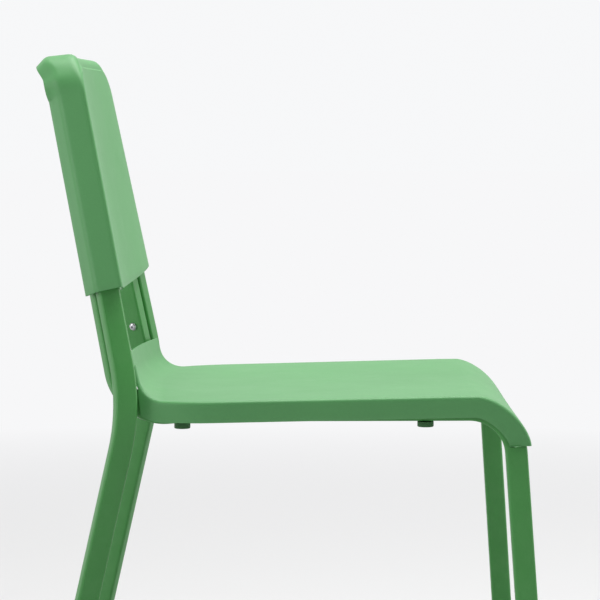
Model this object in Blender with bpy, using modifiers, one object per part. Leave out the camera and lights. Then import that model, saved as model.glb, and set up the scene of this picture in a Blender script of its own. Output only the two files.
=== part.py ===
"""Stacking chair, metres, +Z up, front towards -Y, X lateral.

Origin: centre of the bounding box in plan, on the floor.
Helper coordinates: u points to the front (u = -Y), so a point is (x, u, z).
"""
import math

import bmesh
import bpy
from mathutils import Vector

# ---------------------------------------------------------------- driving dimensions
TUBE_A = 0.0150          # tube section, short side
TUBE_B = 0.0225          # tube section, long side
TUBE_R = 0.0030          # outside corner radius of the section
TUBE_WALL = 0.0015
GAP = 0.0004             # gap between neighbouring pieces

RAKE = 0.2269            # rear leg: how far it runs back per unit of height
RECLINE = 0.199           # uprights: how far they run back per unit of height
LEAN = 0.15              # uprights: how far they close in per unit of height
TOE_LEG = math.radians(19.0)     # section turned in plan, rear leg
TOE_UP = math.radians(27.0)      # section turned in plan, uprights
UPRIGHT_TOP = 0.690

SEAT_T = 0.0026          # seat shell wall
SEAT_HALF_F = 0.2005     # half width of the seat at the front
SEAT_HALF_R = 0.1950     # half width of the seat at the back
SEAT_BAND = 0.0220       # depth of the side skirt
SEAT_REAR = (-0.105, 0.4435)
SEAT_SLOPE = 0.0245
SEAT_FRONT = (0.1958, 0.3998)    # centre of the waterfall curve
SEAT_FRONT_AB = (0.0545, 0.0508)  # its half axes
SEAT_RIM_R = 0.027             # fillet between the flat seat and the rear rise
SEAT_RISE_U = -0.1446          # where the flat and the rise would meet
SEAT_RISE = 0.26               # rearward lean of the rise per unit of height
SEAT_RIM_Z = 0.478
SEAT_DISH = 0.003
RIM_BOW = 0.0155

BACK_T = 0.0025          # backrest wall
BACK_Z0 = 0.561          # bottom corner height
BACK_Z1 = 0.7990         # top edge height
BACK_W0 = 0.189          # half width at the bottom corner
BACK_U0 = -0.1646        # front edge at the bottom corner
BACK_SLOPE = 0.199
BACK_CORNER = 0.046      # top corner radius seen from the front
BACK_BOW = 0.015
BACK_SAG = 0.012         # bottom edge lower in the middle

FOOT_H = 0.0040
Y0 = 0.0021              # puts the origin in the middle of the footprint


# ---------------------------------------------------------------- scene helpers
for _o in list(bpy.data.objects):
    bpy.data.objects.remove(_o, do_unlink=True)
for _m in list(bpy.data.meshes):
    bpy.data.meshes.remove(_m)

PARTS = bpy.data.collections.new("stacking_chair")
CUTTERS = bpy.data.collections.new("cutters")
bpy.context.scene.collection.children.link(PARTS)
bpy.context.scene.collection.children.link(CUTTERS)


def material(name, rgb, rough, metal=0.0):
    mat = bpy.data.materials.new(name)
    mat.use_nodes = True
    bsdf = mat.node_tree.nodes["Principled BSDF"]
    bsdf.inputs["Base Color"].default_value = (rgb[0], rgb[1], rgb[2], 1.0)
    bsdf.inputs["Roughness"].default_value = rough
    bsdf.inputs["Metallic"].default_value = metal
    mat.diffuse_color = (rgb[0], rgb[1], rgb[2], 1.0)
    return mat


GREEN = (0.105, 0.365, 0.145)


def to_world(p, side=1):
    return Vector((p[0] * side, Y0 - p[1], p[2]))


def make(name, verts, faces, mat, smooth=True, coll=PARTS):
    me = bpy.data.meshes.new(name)
    me.from_pydata([tuple(v) for v in verts], [], faces)
    bm = bmesh.new()
    bm.from_mesh(me)
    bmesh.ops.recalc_face_normals(bm, faces=bm.faces)
    bm.to_mesh(me)
    bm.free()
    ob = bpy.data.objects.new(name, me)
    coll.objects.link(ob)
    if mat is not None:
        me.materials.append(mat)
    if smooth:
        me.shade_smooth()
        me.set_sharp_from_angle(angle=math.radians(40))
    return ob


def flip(ob):
    bm = bmesh.new()
    bm.from_mesh(ob.data)
    bmesh.ops.reverse_faces(bm, faces=bm.faces)
    bm.to_mesh(ob.data)
    bm.free()


def cylinder(name, p0, p1, r, mat, n=20, coll=PARTS, r2=None):
    """A cylinder or cone between two world points, its object located and turned."""
    a, b = Vector(p0), Vector(p1)
    bm = bmesh.new()
    bmesh.ops.create_cone(bm, cap_ends=True, segments=n, radius1=r,
                          radius2=r if r2 is None else r2, depth=(b - a).length)
    me = bpy.data.meshes.new(name)
    bm.to_mesh(me)
    bm.free()
    ob = bpy.data.objects.new(name, me)
    ob.rotation_mode = "QUATERNION"
    ob.rotation_quaternion = Vector((0, 0, 1)).rotation_difference((b - a).normalized())
    ob.location = (a + b) / 2
    coll.objects.link(ob)
    if mat is not None:
        me.materials.append(mat)
    me.shade_smooth()
    me.set_sharp_from_angle(angle=math.radians(40))
    if coll is CUTTERS:
        ob.hide_render = True
        ob.display_type = "WIRE"
    return ob


def boolean(ob, other, op="DIFFERENCE"):
    m = ob.modifiers.new(op.lower(), "BOOLEAN")
    m.operation = op
    m.solver = "EXACT"
    m.object = other
    return m


def solidify(ob, t):
    m = ob.modifiers.new("wall", "SOLIDIFY")
    m.thickness = t
    m.offset = -1.0
    m.use_even_offset = True
    return m


# ---------------------------------------------------------------- tube geometry
def rrect(a, b, r, k):
    pts = []
    for cx, cy, a0 in ((a / 2 - r, b / 2 - r, 0), (-a / 2 + r, b / 2 - r, 90),
                       (-a / 2 + r, -b / 2 + r, 180), (a / 2 - r, -b / 2 + r, 270)):
        for i in range(k + 1):
            t = math.radians(a0 + 90.0 * i / k)
            pts.append((cx + r * math.cos(t), cy + r * math.sin(t)))
    return pts


def fillet_path(way, rad, toe, step_deg):
    """way: (x, u, z) corner points; rad: bend radius at each inner corner; toe: plan
    angle of the section on each straight. Returns (point, tangent, toe) stations."""
    P = [Vector(w) for w in way]
    out = []
    D = [(P[i + 1] - P[i]).normalized() for i in range(len(P) - 1)]
    out.append((P[0], D[0], toe[0]))
    for i in range(1, len(P) - 1):
        d0, d1 = D[i - 1], D[i]
        phi = d0.angle(d1)
        t = rad[i - 1] * math.tan(phi / 2)
        n = max(2, int(round(math.degrees(phi) / step_deg)))
        inward = (d1 - d0 * d0.dot(d1)).normalized()
        start = P[i] - d0 * t
        centre = start + inward * rad[i - 1]
        for k in range(n + 1):
            a = phi * k / n
            p = centre - inward * rad[i - 1] * math.cos(a) + d0 * rad[i - 1] * math.sin(a)
            tan = d0 * math.cos(a) + inward * math.sin(a)
            s = a / phi
            s = s * s * (3 - 2 * s)
            out.append((p, tan, toe[i - 1] * (1 - s) + toe[i] * s))
    out.append((P[-1], D[-1], toe[-1]))
    return out


def ring(st, sec, z_plane=None):
    p, tan, toe = st
    s = Vector((math.cos(toe), math.sin(toe), 0.0))
    s = (s - tan * s.dot(tan)).normalized()
    ell = tan.cross(s)
    pts = []
    for a, b in sec:
        q = p + s * a + ell * b
        if z_plane is not None:
            q = q + tan * ((z_plane - q.z) / tan.z)
        pts.append(q)
    return pts


def loft(name, rings, mat, side, cap=False):
    n = len(rings[0])
    verts = [to_world(q, side) for r in rings for q in r]
    faces = []
    for i in range(len(rings) - 1):
        for j in range(n):
            k = (j + 1) % n
            faces.append((i * n + j, i * n + k, (i + 1) * n + k, (i + 1) * n + j))
    if cap:
        faces.append(tuple(range(n)))
        faces.append(tuple((len(rings) - 1) * n + j for j in range(n)))
    return make(name, verts, faces, mat)


def rear_path(step):
    x_leg = 0.1875 + TUBE_B / 2 * math.sin(TOE_LEG) - TUBE_A / 2 * math.cos(TOE_LEG)
    x_up = 0.1875 + TUBE_B / 2 * math.sin(TOE_UP) - TUBE_A / 2 * math.cos(TOE_UP)
    knee_z, knee_u = 0.437, -0.1582
    way = [(x_leg, knee_u - RAKE * (knee_z - FOOT_H), FOOT_H),
           (x_up, knee_u, knee_z),
           (x_up - LEAN * (UPRIGHT_TOP - knee_z), knee_u - RECLINE * (UPRIGHT_TOP - knee_z), UPRIGHT_TOP)]
    return fillet_path(way, [0.20], [TOE_LEG, TOE_UP], step)


def front_path(step):
    x_up = 0.1875 + TUBE_B / 2 * math.sin(TOE_UP) - TUBE_A / 2 * math.cos(TOE_UP)
    off = (TUBE_A + GAP + 0.0024) / 0.9755
    dx, du = -off * math.cos(TOE_UP), -off * math.sin(TOE_UP)
    z3, zt = 0.4268, UPRIGHT_TOP - 0.012
    u3 = -0.1582 - RECLINE * (z3 - 0.437) + du
    x3 = x_up - LEAN * (z3 - 0.437) + dx
    top = (x_up - LEAN * (zt - 0.437) + dx, -0.1582 - RECLINE * (zt - 0.437) + du, zt)
    a = math.radians(25.0)
    reach = 0.080
    w2 = (x3 - reach * math.sin(a), u3 + reach * math.cos(a), z3 + 0.0019)
    w1 = (0.1867, 0.2324, 0.4359)
    foot = (0.2145, 0.2324 + 0.0695 * (0.4365 - FOOT_H), FOOT_H)
    rail = -math.atan2(w1[0] - w2[0], w1[1] - w2[1])
    return fillet_path([foot, w1, w2, (x3, u3, z3), top], [0.047, 0.050, 0.0500],
                       [0.0, rail, a, TOE_UP], step)


def tube(name, path, side, mat, k=2):
    sec = rrect(TUBE_A, TUBE_B, TUBE_R, k)
    rings = [ring(st, sec, FOOT_H if i == 0 else None) for i, st in enumerate(path)]
    ob = loft(name, rings, mat, side)
    # open surface: point the faces outwards before the wall goes inwards
    c = sum((v.co for v in ob.data.vertices[:len(sec)]), Vector()) / len(sec)
    edge = (ob.data.vertices[0].co + ob.data.vertices[1].co) / 2
    if ob.data.polygons[0].normal.dot(edge - c) < 0:
        flip(ob)
    solidify(ob, TUBE_WALL)
    return ob


def end_plug(name, st, side, mat, foot):
    """A plug in a tube end: a collar outside, a stepped spigot inside the tube."""
    p, tan, toe = st
    inner = rrect(TUBE_A - 2 * TUBE_WALL - 0.0008, TUBE_B - 2 * TUBE_WALL - 0.0008, 0.0014, 2)
    rings = []
    if foot:
        collar = rrect(TUBE_A + 0.0010, TUBE_B + 0.0010, TUBE_R, 2)
        sole = rrect(TUBE_A - 0.0010, TUBE_B - 0.0010, TUBE_R, 2)
        zc = FOOT_H - GAP
        rings = [ring(st, sole, 0.0), ring(st, collar, 0.0010), ring(st, collar, zc),
                 ring(st, inner, zc), ring(st, inner, FOOT_H + 0.016)]
    else:
        collar = rrect(TUBE_A, TUBE_B, TUBE_R, 2)
        crown = rrect(TUBE_A - 0.0020, TUBE_B - 0.0020, TUBE_R - 0.001, 2)
        at = lambda h: (p + tan * h, tan, toe)
        rings = [ring(at(0.0030), crown), ring(at(0.0020), collar), ring(at(GAP), collar),
                 ring(at(GAP), inner), ring(at(-0.016), inner)]
    return loft(name, rings, mat, side, cap=True)


# ---------------------------------------------------------------- seat shell
def seat_profile(n_rim, n_flat, n_front):
    """Side profile of the top surface, rear rim to front lip: (u, z) points."""
    pts = []
    lean = math.atan(SEAT_RISE)
    z_at = lambda u: SEAT_REAR[1] + SEAT_SLOPE * (u - SEAT_REAR[0])
    cu = SEAT_RISE_U + 0.0209
    cz = z_at(cu) + SEAT_RIM_R
    a0 = math.pi + lean
    a1 = 1.5 * math.pi + math.atan(SEAT_SLOPE)
    su, sz = cu + SEAT_RIM_R * math.cos(a0), cz + SEAT_RIM_R * math.sin(a0)
    n_up = max(1, n_rim // 4)
    for i in range(n_up):
        z = SEAT_RIM_Z + (sz - SEAT_RIM_Z) * i / n_up
        pts.append((su - SEAT_RISE * (z - sz), z))
    for i in range(n_rim + 1):
        a = a0 + (a1 - a0) * i / n_rim
        pts.append((cu + SEAT_RIM_R * math.cos(a), cz + SEAT_RIM_R * math.sin(a)))
    u0 = pts[-1][0]
    u1 = SEAT_FRONT[0] - 0.022
    for i in range(1, n_flat + 1):
        u = u0 + (u1 - u0) * i / n_flat
        pts.append((u, z_at(u)))
    e = 1.60
    for i in range(0, n_front + 1):
        t = (math.pi / 2) * i / n_front
        s, c = math.sin(t) ** (2 / e), max(0.0, math.cos(t)) ** (2 / e)
        pts.append((SEAT_FRONT[0] + SEAT_FRONT_AB[0] * s, SEAT_FRONT[1] + SEAT_FRONT_AB[1] * c))
    return pts


def skirt_limit(x, z):
    """Rear-most u the skirt may reach beside the rear leg tube at (x, z)."""
    leg = -0.1582 - RAKE * (0.437 - z)
    up = -0.1582 - RECLINE * (z - 0.437)
    cu = 0.5 * (leg + up) - 0.5 * math.hypot(leg - up, 0.0090)
    cx = 0.1859 - LEAN * max(0.0, z - 0.437)
    extra = 0.0016 * min(1.0, max(0.0, (0.447 - z) / 0.03))
    face = cu + 0.0066 + extra + math.tan(TOE_UP) * max(0.0, x - cx + 0.0118)
    return min(cu + 0.0134, face) + 0.0062


def seat_shell(name, mat, n_rim=6, n_flat=5, n_front=8, n_x=7, k=2, n_skirt=1, edge=0.0035):
    prof = seat_profile(n_rim, n_flat, n_front)
    m = len(prof)
    arc = [0.0]
    for i in range(1, m):
        arc.append(arc[-1] + math.dist(prof[i], prof[i - 1]))
    normals = []
    for i in range(m):
        a, b = prof[max(0, i - 1)], prof[min(m - 1, i + 1)]
        ln = math.dist(a, b)
        normals.append((-(b[1] - a[1]) / ln, (b[0] - a[0]) / ln))
    normals[-1] = (1.0, 0.0)

    def skirt_dir(i):
        # the skirt follows the profile's direction averaged along the bend, so it does not fold
        if prof[i][0] < 0.05:
            return normals[i]
        sg = min(0.011, (arc[-1] - arc[i]) / 2 + 1e-5)
        su = sz = 0.0
        for j in range(m):
            g = math.exp(-0.5 * ((arc[i] - arc[j]) / sg) ** 2) * (arc[min(m - 1, j + 1)] - arc[max(0, j - 1)])
            su += g * normals[j][0]
            sz += g * normals[j][1]
        ln = math.hypot(su, sz)
        return su / ln, sz / ln

    rows = []
    for i, (u, z) in enumerate(prof):
        a, b = prof[max(0, i - 1)], prof[min(m - 1, i + 1)]
        tu, tz = b[0] - a[0], b[1] - a[1]
        ln = math.hypot(tu, tz)
        tu, tz = tu / ln, tz / ln
        if i == m - 1:
            tu, tz = 0.0, -1.0
        nu, nz = -tz, tu                       # outward normal of the profile
        w = SEAT_HALF_R + (SEAT_HALF_F - SEAT_HALF_R) * min(1.0, max(0.0, (u + 0.105) / 0.30))
        g = 0.0
        if u < -0.075:
            g = min(1.0, (-0.075 - u) / 0.0775)
            w -= 0.0285 * g ** 2.0
        bow = RIM_BOW * (g ** 1.5)
        dish = SEAT_DISH * min(1.0, max(0.0, (arc[-1] - arc[i]) / 0.12)) * (1 - g)
        flat_half = w - edge
        xs = [flat_half * math.sin(0.5 * math.pi * j / n_x) for j in range(n_x + 1)]
        half = []
        for x in xs:
            q = 1 - (x / flat_half) ** 2
            half.append((x, u - bow * q - nu * dish * q * q, z - nz * dish * q * q))
        for j in range(1, k + 1):              # rounded shoulder
            t = (math.pi / 2) * j / k
            h = edge * (1 - math.cos(t))
            half.append((flat_half + edge * math.sin(t), u - nu * h, z - nz * h))
        band = SEAT_BAND
        if nu > 0.02 and u < -0.08:            # the skirt stops short of the rear leg tube
            for _ in range(6):
                band = min(SEAT_BAND, (u - skirt_limit(w, z - nz * band)) / nu)
                band = max(edge + 0.0008, band)
        for j in range(1, n_skirt + 1):        # skirt
            h = edge + (band - edge) * j / n_skirt
            fu, fz = skirt_dir(i)
            mixed = min(1.0, (h - edge) / 0.010)
            du, dz = nu + (fu - nu) * mixed, nz + (fz - nz) * mixed
            ln = math.hypot(du, dz)
            half.append((w, u - du / ln * h, z - dz / ln * h))
        fixed = half
        row = [(-x, uu, zz) for x, uu, zz in reversed(fixed[1:])] + fixed
        rows.append(row)
    n = len(rows[0])
    verts = [to_world(p) for r in rows for p in r]
    faces = []
    for i in range(m - 1):
        for j in range(n - 1):
            faces.append((i * n + j, i * n + j + 1, (i + 1) * n + j + 1, (i + 1) * n + j))
    ob = make(name, verts, faces, mat)
    mid = ob.data.polygons[(m // 2) * (n - 1) + (n - 1) // 2]
    if mid.normal.z < 0:
        flip(ob)
    solidify(ob, SEAT_T)
    return ob


# ---------------------------------------------------------------- backrest shell
def back_width(z):
    return BACK_W0 - LEAN * (z - BACK_Z0)


def back_u(x, z):
    """Front surface of the back panel: reclined, and hollowed towards the middle."""
    f = min(1.0, max(0.0, (z - BACK_Z0) / (BACK_Z1 - BACK_Z0)))
    bow = BACK_BOW * (1 - 0.35 * f)
    q = max(0.0, 1 - (x / back_width(z)) ** 2) ** 1.6
    return BACK_U0 - BACK_SLOPE * (z - BACK_Z0) - bow * q


def back_outline(n_side, n_corner, n_top):
    """Right half of the front-view outline, bottom corner to top middle: (x, z, nx, nz)."""
    w1 = back_width(BACK_Z1)
    d0 = Vector((-LEAN, 1.0)).normalized()
    phi = d0.angle(Vector((-1.0, 0.0)))
    t = BACK_CORNER * math.tan(phi / 2)
    sx, sz = w1 - d0.x * t, BACK_Z1 - d0.y * t
    n0 = Vector((d0.y, -d0.x))
    cx, cz = sx - n0.x * BACK_CORNER, sz - n0.y * BACK_CORNER
    pts = []
    for i in range(n_side):
        s = i / n_side
        pts.append((BACK_W0 + (sx - BACK_W0) * s, BACK_Z0 + (sz - BACK_Z0) * s, n0.x, n0.y))
    a0 = math.atan2(n0.y, n0.x)
    for i in range(n_corner + 1):
        a = a0 + (math.pi / 2 - a0) * i / n_corner
        pts.append((cx + BACK_CORNER * math.cos(a), cz + BACK_CORNER * math.sin(a), math.cos(a), math.sin(a)))
    for i in range(1, n_top + 1):
        pts.append((cx * (1 - i / n_top), BACK_Z1, 0.0, 1.0))
    return pts


def backrest_shell(name, mat, n_side=5, n_corner=6, n_top=3, k=2, n_band=1, n_fold=2, n_flange=1):
    half = back_outline(n_side, n_corner, n_top)
    right = half
    left = [(-x, z, -nx, nz) for x, z, nx, nz in reversed(half[:-1])]
    path = right + left                        # right bottom, over the top, to left bottom
    total = len(path)

    def f_top(nz):
        s = min(1.0, max(0.0, nz))
        return s * s * (3 - 2 * s)

    cols = []
    for x, z, nx, nz in path:
        f = f_top((nz - 0.15) / 0.85)
        r = 0.0028 + 0.0087 * f
        g = f_top(nz / 0.55)                   # the inward flange shortens round the corner
        f = f_top((nz - 0.66) / 0.28)          # the lip starts high on the corner
        down = 0.20 - 0.09 * f
        D = Vector((0.0, -1.0, -down)).normalized()
        N = Vector((nx, 0.0, nz))
        O = Vector((x, back_u(x, z), z))
        depth = 0.0285 + 0.0068 * f
        depth -= (1 - f) * 0.9 * max(0.0, back_u(back_width(z), z) - back_u(x, z))
        inw = 0.0060 * (1 - g)
        fl_b = 0.0125 * (1 - f) + 0.0098 * f
        fl_i = 0.0260 * (1 - g) + 0.0098 * g
        c = []
        for i in range(k + 1):
            t = (math.pi / 2) * i / k
            c.append(O - N * r + D * r + N * (r * math.sin(t)) - D * (r * math.cos(t)))
        B0 = O + D * r
        B1 = O + D * depth - N * inw
        B2 = B1 + D * fl_b - N * fl_i
        e0 = (B0 - B1).normalized()
        e1 = (B2 - B1).normalized()
        fr = 0.0045
        for i in range(1, n_band + 1):
            s = i / n_band
            c.append(B0 + (B1 + e0 * fr - B0) * s)
        for i in range(1, n_fold + 1):
            s = i / n_fold
            c.append((B1 + e0 * fr) * (1 - s) ** 2 + B1 * (2 * s * (1 - s)) + (B1 + e1 * fr) * s * s)
        for i in range(1, n_flange + 1):
            s = i / n_flange
            c.append((B1 + e1 * fr) * (1 - s) + B2 * s)
        cols.append(c)
    nb = len(cols[0])
    # panel patch between the inset outline and the bottom edge
    h = n_side + n_corner // 2
    R = [cols[i][0] for i in range(h + 1)]
    L = [cols[total - 1 - i][0] for i in range(h + 1)]
    T = [cols[h + i][0] for i in range(total - 2 * h)]      # right to left
    nt = len(T) - 1
    B = []
    for j in range(nt + 1):
        s = j / nt
        x = R[0].x + (L[0].x - R[0].x) * s
        z = R[0].z - BACK_SAG * (1 - (x / R[0].x) ** 2)
        B.append(Vector((x, back_u(x, z), z)))
    grid = []
    for i in range(h + 1):
        b = i / h
        row = []
        for j in range(nt + 1):
            a = j / nt
            if j == 0:
                p = R[i]
            elif j == nt:
                p = L[i]
            elif i == h:
                p = T[j]
            else:
                p = (R[i] * (1 - a) + L[i] * a + B[j] * (1 - b) + T[j] * b
                     - (R[0] * ((1 - a) * (1 - b)) + L[0] * (a * (1 - b)) + R[h] * ((1 - a) * b) + L[h] * (a * b)))
                p = Vector((p.x, back_u(p.x, p.z), p.z))
            row.append(p)
        grid.append(row)
    verts, faces, index = [], [], {}

    def vid(key, p):
        if key not in index:
            index[key] = len(verts)
            verts.append(to_world(p))
        return index[key]

    def outline_key(i):
        if i <= h:
            return ("g", i, 0)
        if i >= total - 1 - h:
            return ("g", total - 1 - i, nt)
        return ("g", h, i - h)

    for i in range(h + 1):
        for j in range(nt + 1):
            vid(("g", i, j), grid[i][j])
    for i in range(h):
        for j in range(nt):
            faces.append((index[("g", i, j)], index[("g", i, j + 1)], index[("g", i + 1, j + 1)], index[("g", i + 1, j)]))
    for i in range(total - 1):
        for j in range(nb - 1):
            q = []
            for ii, jj in ((i, j), (i + 1, j), (i + 1, j + 1), (i, j + 1)):
                q.append(index[outline_key(ii)] if jj == 0 else vid(("b", ii, jj), cols[ii][jj]))
            faces.append(tuple(q))
    ob = make(name, verts, faces, mat)
    mid = ob.data.polygons[(h // 2) * nt + nt // 2]
    if mid.normal.y > 0:
        flip(ob)
    solidify(ob, BACK_T)
    return ob


# ---------------------------------------------------------------- assembly
m_seat = material("seat_green", GREEN, 0.45)
m_back = material("back_green", GREEN, 0.45)
m_tube = material("frame_green", (0.09, 0.34, 0.12), 0.4)
m_rub = material("buffer_green", (0.05, 0.2, 0.06), 0.6)
m_zinc = material("zinc_steel", (0.55, 0.56, 0.58), 0.3, 1.0)
m_plug = material("plug_green", (0.06, 0.24, 0.08), 0.55)

STEP = 13.0
rp, fp = rear_path(STEP), front_path(STEP)

seat = seat_shell("seat_shell", m_seat)
back = backrest_shell("backrest_shell", m_back)

tubes = {}
for side, tag in ((1, "right"), (-1, "left")):
    tubes[tag, "rear"] = tube("%s_rear_leg_tube" % tag, rp, side, m_tube)
    tubes[tag, "front"] = tube("%s_front_leg_tube" % tag, fp, side, m_tube)
    end_plug("%s_rear_foot" % tag, rp[0], side, m_plug, True)
    end_plug("%s_front_foot" % tag, fp[0], side, m_plug, True)
    end_plug("%s_outer_upright_plug" % tag, rp[-1], side, m_plug, False)
    end_plug("%s_inner_upright_plug" % tag, fp[-1], side, m_plug, False)


# screw through the inner upright into a rivet nut in the outer one
def upright_centre(z, inner):
    x_up = 0.1875 + TUBE_B / 2 * math.sin(TOE_UP) - TUBE_A / 2 * math.cos(TOE_UP)
    p = Vector((x_up - LEAN * (z - 0.437), -0.1582 - RECLINE * (z - 0.437), z))
    if inner:
        off = (TUBE_A + GAP + 0.0024) / 0.9755
        p = p + Vector((-off * math.cos(TOE_UP), -off * math.sin(TOE_UP), 0.0))
    return p


SCREW_Z = 0.4935
T_up = Vector((-LEAN, -RECLINE, 1.0)).normalized()
S_up = Vector((math.cos(TOE_UP), math.sin(TOE_UP), 0.0))
S_up = (S_up - T_up * S_up.dot(T_up)).normalized()


def hex_recess(name, a, b, r, mat_coll):
    return cylinder(name, a, b, r, None, n=6, coll=mat_coll)


for side, tag in ((1, "right"), (-1, "left")):
    c = upright_centre(SCREW_Z, True)
    W = lambda d: to_world(c + S_up * d, side)
    head0 = -TUBE_A / 2 - GAP
    body = cylinder("%s_upright_screw" % tag, W(head0 - 0.0026), W(head0), 0.0030, m_zinc, n=20, r2=0.0046)
    shank = cylinder("%s_upright_shank" % tag, W(head0 - 0.0008), W(TUBE_A / 2 + 0.0085), 0.0022, None, n=14, coll=CUTTERS)
    boolean(body, shank, "UNION")
    boolean(body, hex_recess("%s_upright_hex" % tag, W(head0 - 0.0036), W(head0 - 0.0010), 0.0015, CUTTERS))
    hole = cylinder("%s_upright_hole" % tag, W(-TUBE_A), W(TUBE_A / 2 + 0.0003), 0.0027, None, n=14, coll=CUTTERS)
    boolean(tubes[tag, "front"], hole)
    nut_hole = cylinder("%s_nut_hole" % tag, W(TUBE_A / 2 - 0.0001), W(TUBE_A / 2 + 0.0060), 0.0041, None, n=14, coll=CUTTERS)
    boolean(tubes[tag, "rear"], nut_hole)
    nut = cylinder("%s_rivet_nut" % tag, W(TUBE_A / 2 + GAP + 0.0001), W(TUBE_A / 2 + 0.0095), 0.0037, m_zinc, n=14)
    boolean(nut, cylinder("%s_nut_bore" % tag, W(TUBE_A / 2 - 0.002), W(TUBE_A / 2 + 0.0110), 0.0026, None, n=14, coll=CUTTERS))


# stacking buffers under the rails
def rail_point(u):
    best = None
    for i in range(len(fp) - 1):
        a, b = fp[i][0], fp[i + 1][0]
        if (a.y - u) * (b.y - u) <= 0 and a.z > 0.40 and b.z > 0.40 and abs(b.y - a.y) > 1e-6:
            s = (u - a.y) / (b.y - a.y)
            p = a + (b - a) * s
            if best is None or p.z < best.z:
                best = p
    return best


for side, tag in ((1, "right"), (-1, "left")):
    for where, u in (("front", 0.1437), ("rear", -0.1070)):
        p = rail_point(u)
        z1 = p.z - TUBE_B / 2 - GAP - 0.0003
        ob = cylinder("%s_%s_stacking_buffer" % (tag, where), to_world((p.x, u, z1 - 0.0056), side),
                      to_world((p.x, u, z1), side), 0.0084, m_rub, n=24)
        bv = ob.modifiers.new("edge", "BEVEL")
        bv.width = 0.0008
        bv.segments = 1
        bv.limit_method = "ANGLE"

# crossbars under the seat, with a screw at each end up into the seat shell
for where, u in (("front", 0.1050), ("rear", -0.0500)):
    p = rail_point(u)
    q0, q1 = rail_point(u - 0.009), rail_point(u + 0.009)
    hb = 0.0070
    zc = p.z + 0.0006
    wall = TUBE_A / 2 / math.cos(math.atan2(q1.x - q0.x, 0.018)) + GAP
    bm = bmesh.new()
    bmesh.ops.create_cube(bm, size=1.0)
    for v in bm.verts:
        sx, sy, sz = (1 if v.co.x > 0 else -1), (1 if v.co.y > 0 else -1), (1 if v.co.z > 0 else -1)
        uu = u - 0.009 * sy
        xx = (q0.x if uu < u else q1.x) - wall
        v.co = Vector((sx * xx, Y0 - uu, zc + sz * hb))
    me = bpy.data.meshes.new("%s_crossbar" % where)
    bm.to_mesh(me)
    bm.free()
    me.materials.append(m_tube)
    bar = bpy.data.objects.new("%s_crossbar" % where, me)
    PARTS.objects.link(bar)
    bv = bar.modifiers.new("edge", "BEVEL")
    bv.width = 0.0015
    bv.segments = 2
    top_z = zc + hb
    for side, tag in ((1, "right"), (-1, "left")):
        x = 0.105 * side
        y = Y0 - u
        boss = cylinder("%s_%s_boss" % (tag, where), (x, y, top_z + GAP), (x, y, top_z + 0.0075), 0.0060, None, n=16, coll=CUTTERS)
        zs = SEAT_REAR[1] + SEAT_SLOPE * (u - SEAT_REAR[0]) - SEAT_DISH * (1 - (0.105 / 0.1965) ** 2) ** 2
        boss.location.z = (top_z + GAP + zs - 0.0010) / 2
        boss.scale = (1.0, 1.0, (zs - 0.0010 - top_z - GAP) / (0.0075 - GAP))
        boolean(seat, boss, "UNION")
        boolean(seat, cylinder("%s_%s_boss_hole" % (tag, where), (x, y, top_z - 0.002), (x, y, zs - 0.0012), 0.0024, None, n=12, coll=CUTTERS))
        boolean(bar, cylinder("%s_%s_bar_hole" % (tag, where), (x, y, zc - 0.02), (x, y, zc + 0.02), 0.0025, None, n=12, coll=CUTTERS))
        zb = zc - hb - GAP
        head = cylinder("%s_%s_seat_screw" % (tag, where), (x, y, zb - 0.0024), (x, y, zb), 0.0030, m_zinc, n=16, r2=0.0045)
        boolean(head, cylinder("%s_%s_seat_shank" % (tag, where), (x, y, zb - 0.0008), (x, y, zs - 0.0020), 0.0020, None, n=12, coll=CUTTERS), "UNION")

# stiffener bar between the inner uprights inside the backrest, with its two screws
BAR_Z = 0.640
c = upright_centre(BAR_Z, True)
tilt = Vector((0.0, -RECLINE, 1.0)).normalized()
norm = Vector((0.0, 1.0, RECLINE)).normalized()
half_x = c.x - TUBE_A / 2 * math.cos(TOE_UP) - TUBE_B / 2 * math.sin(TOE_UP) - 0.0032
bar_u = back_u(0.0, BAR_Z) - BACK_T - 0.0080
bm = bmesh.new()
bmesh.ops.create_cube(bm, size=1.0)
for v in bm.verts:
    base = Vector((0.0, bar_u, BAR_Z))
    up = tilt * (0.011 if v.co.z > 0 else -0.011)
    dp = norm * (0.0020 if v.co.y > 0 else -0.0020)
    q = base + up + dp
    v.co = Vector(((half_x - LEAN * (q.z - BAR_Z)) * (1 if v.co.x > 0 else -1), Y0 - q.y, q.z))
bmesh.ops.recalc_face_normals(bm, faces=bm.faces)
me = bpy.data.meshes.new("backrest_stiffener")
bm.to_mesh(me)
bm.free()
me.materials.append(m_tube)
bar = bpy.data.objects.new("backrest_stiffener", me)
PARTS.objects.link(bar)
for side, tag in ((1, "right"), (-1, "left")):
    x = 0.055
    at = lambda d: to_world(Vector((x, bar_u, BAR_Z)) + norm * d, side)
    face = (Vector((x, back_u(x, BAR_Z), BAR_Z)) - Vector((x, bar_u, BAR_Z))).dot(norm)
    boss = cylinder("%s_back_boss" % tag, at(0.0020 + GAP), at(face - 0.0012), 0.0060, None, n=16, coll=CUTTERS)
    boolean(back, boss, "UNION")
    boolean(back, cylinder("%s_back_boss_hole" % tag, at(0.0), at(face - 0.0016), 0.0024, None, n=12, coll=CUTTERS))
    boolean(bar, cylinder("%s_stiff_hole" % tag, at(-0.01), at(0.01), 0.0025, None, n=12, coll=CUTTERS))
    head = cylinder("%s_backrest_screw" % tag, at(-0.0020 - GAP - 0.0024), at(-0.0020 - GAP), 0.0030, m_zinc, n=16, r2=0.0045)
    boolean(head, cylinder("%s_back_shank" % tag, at(-0.0020 - GAP - 0.0008), at(face - 0.0024), 0.0020, None, n=12, coll=CUTTERS), "UNION")
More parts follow.
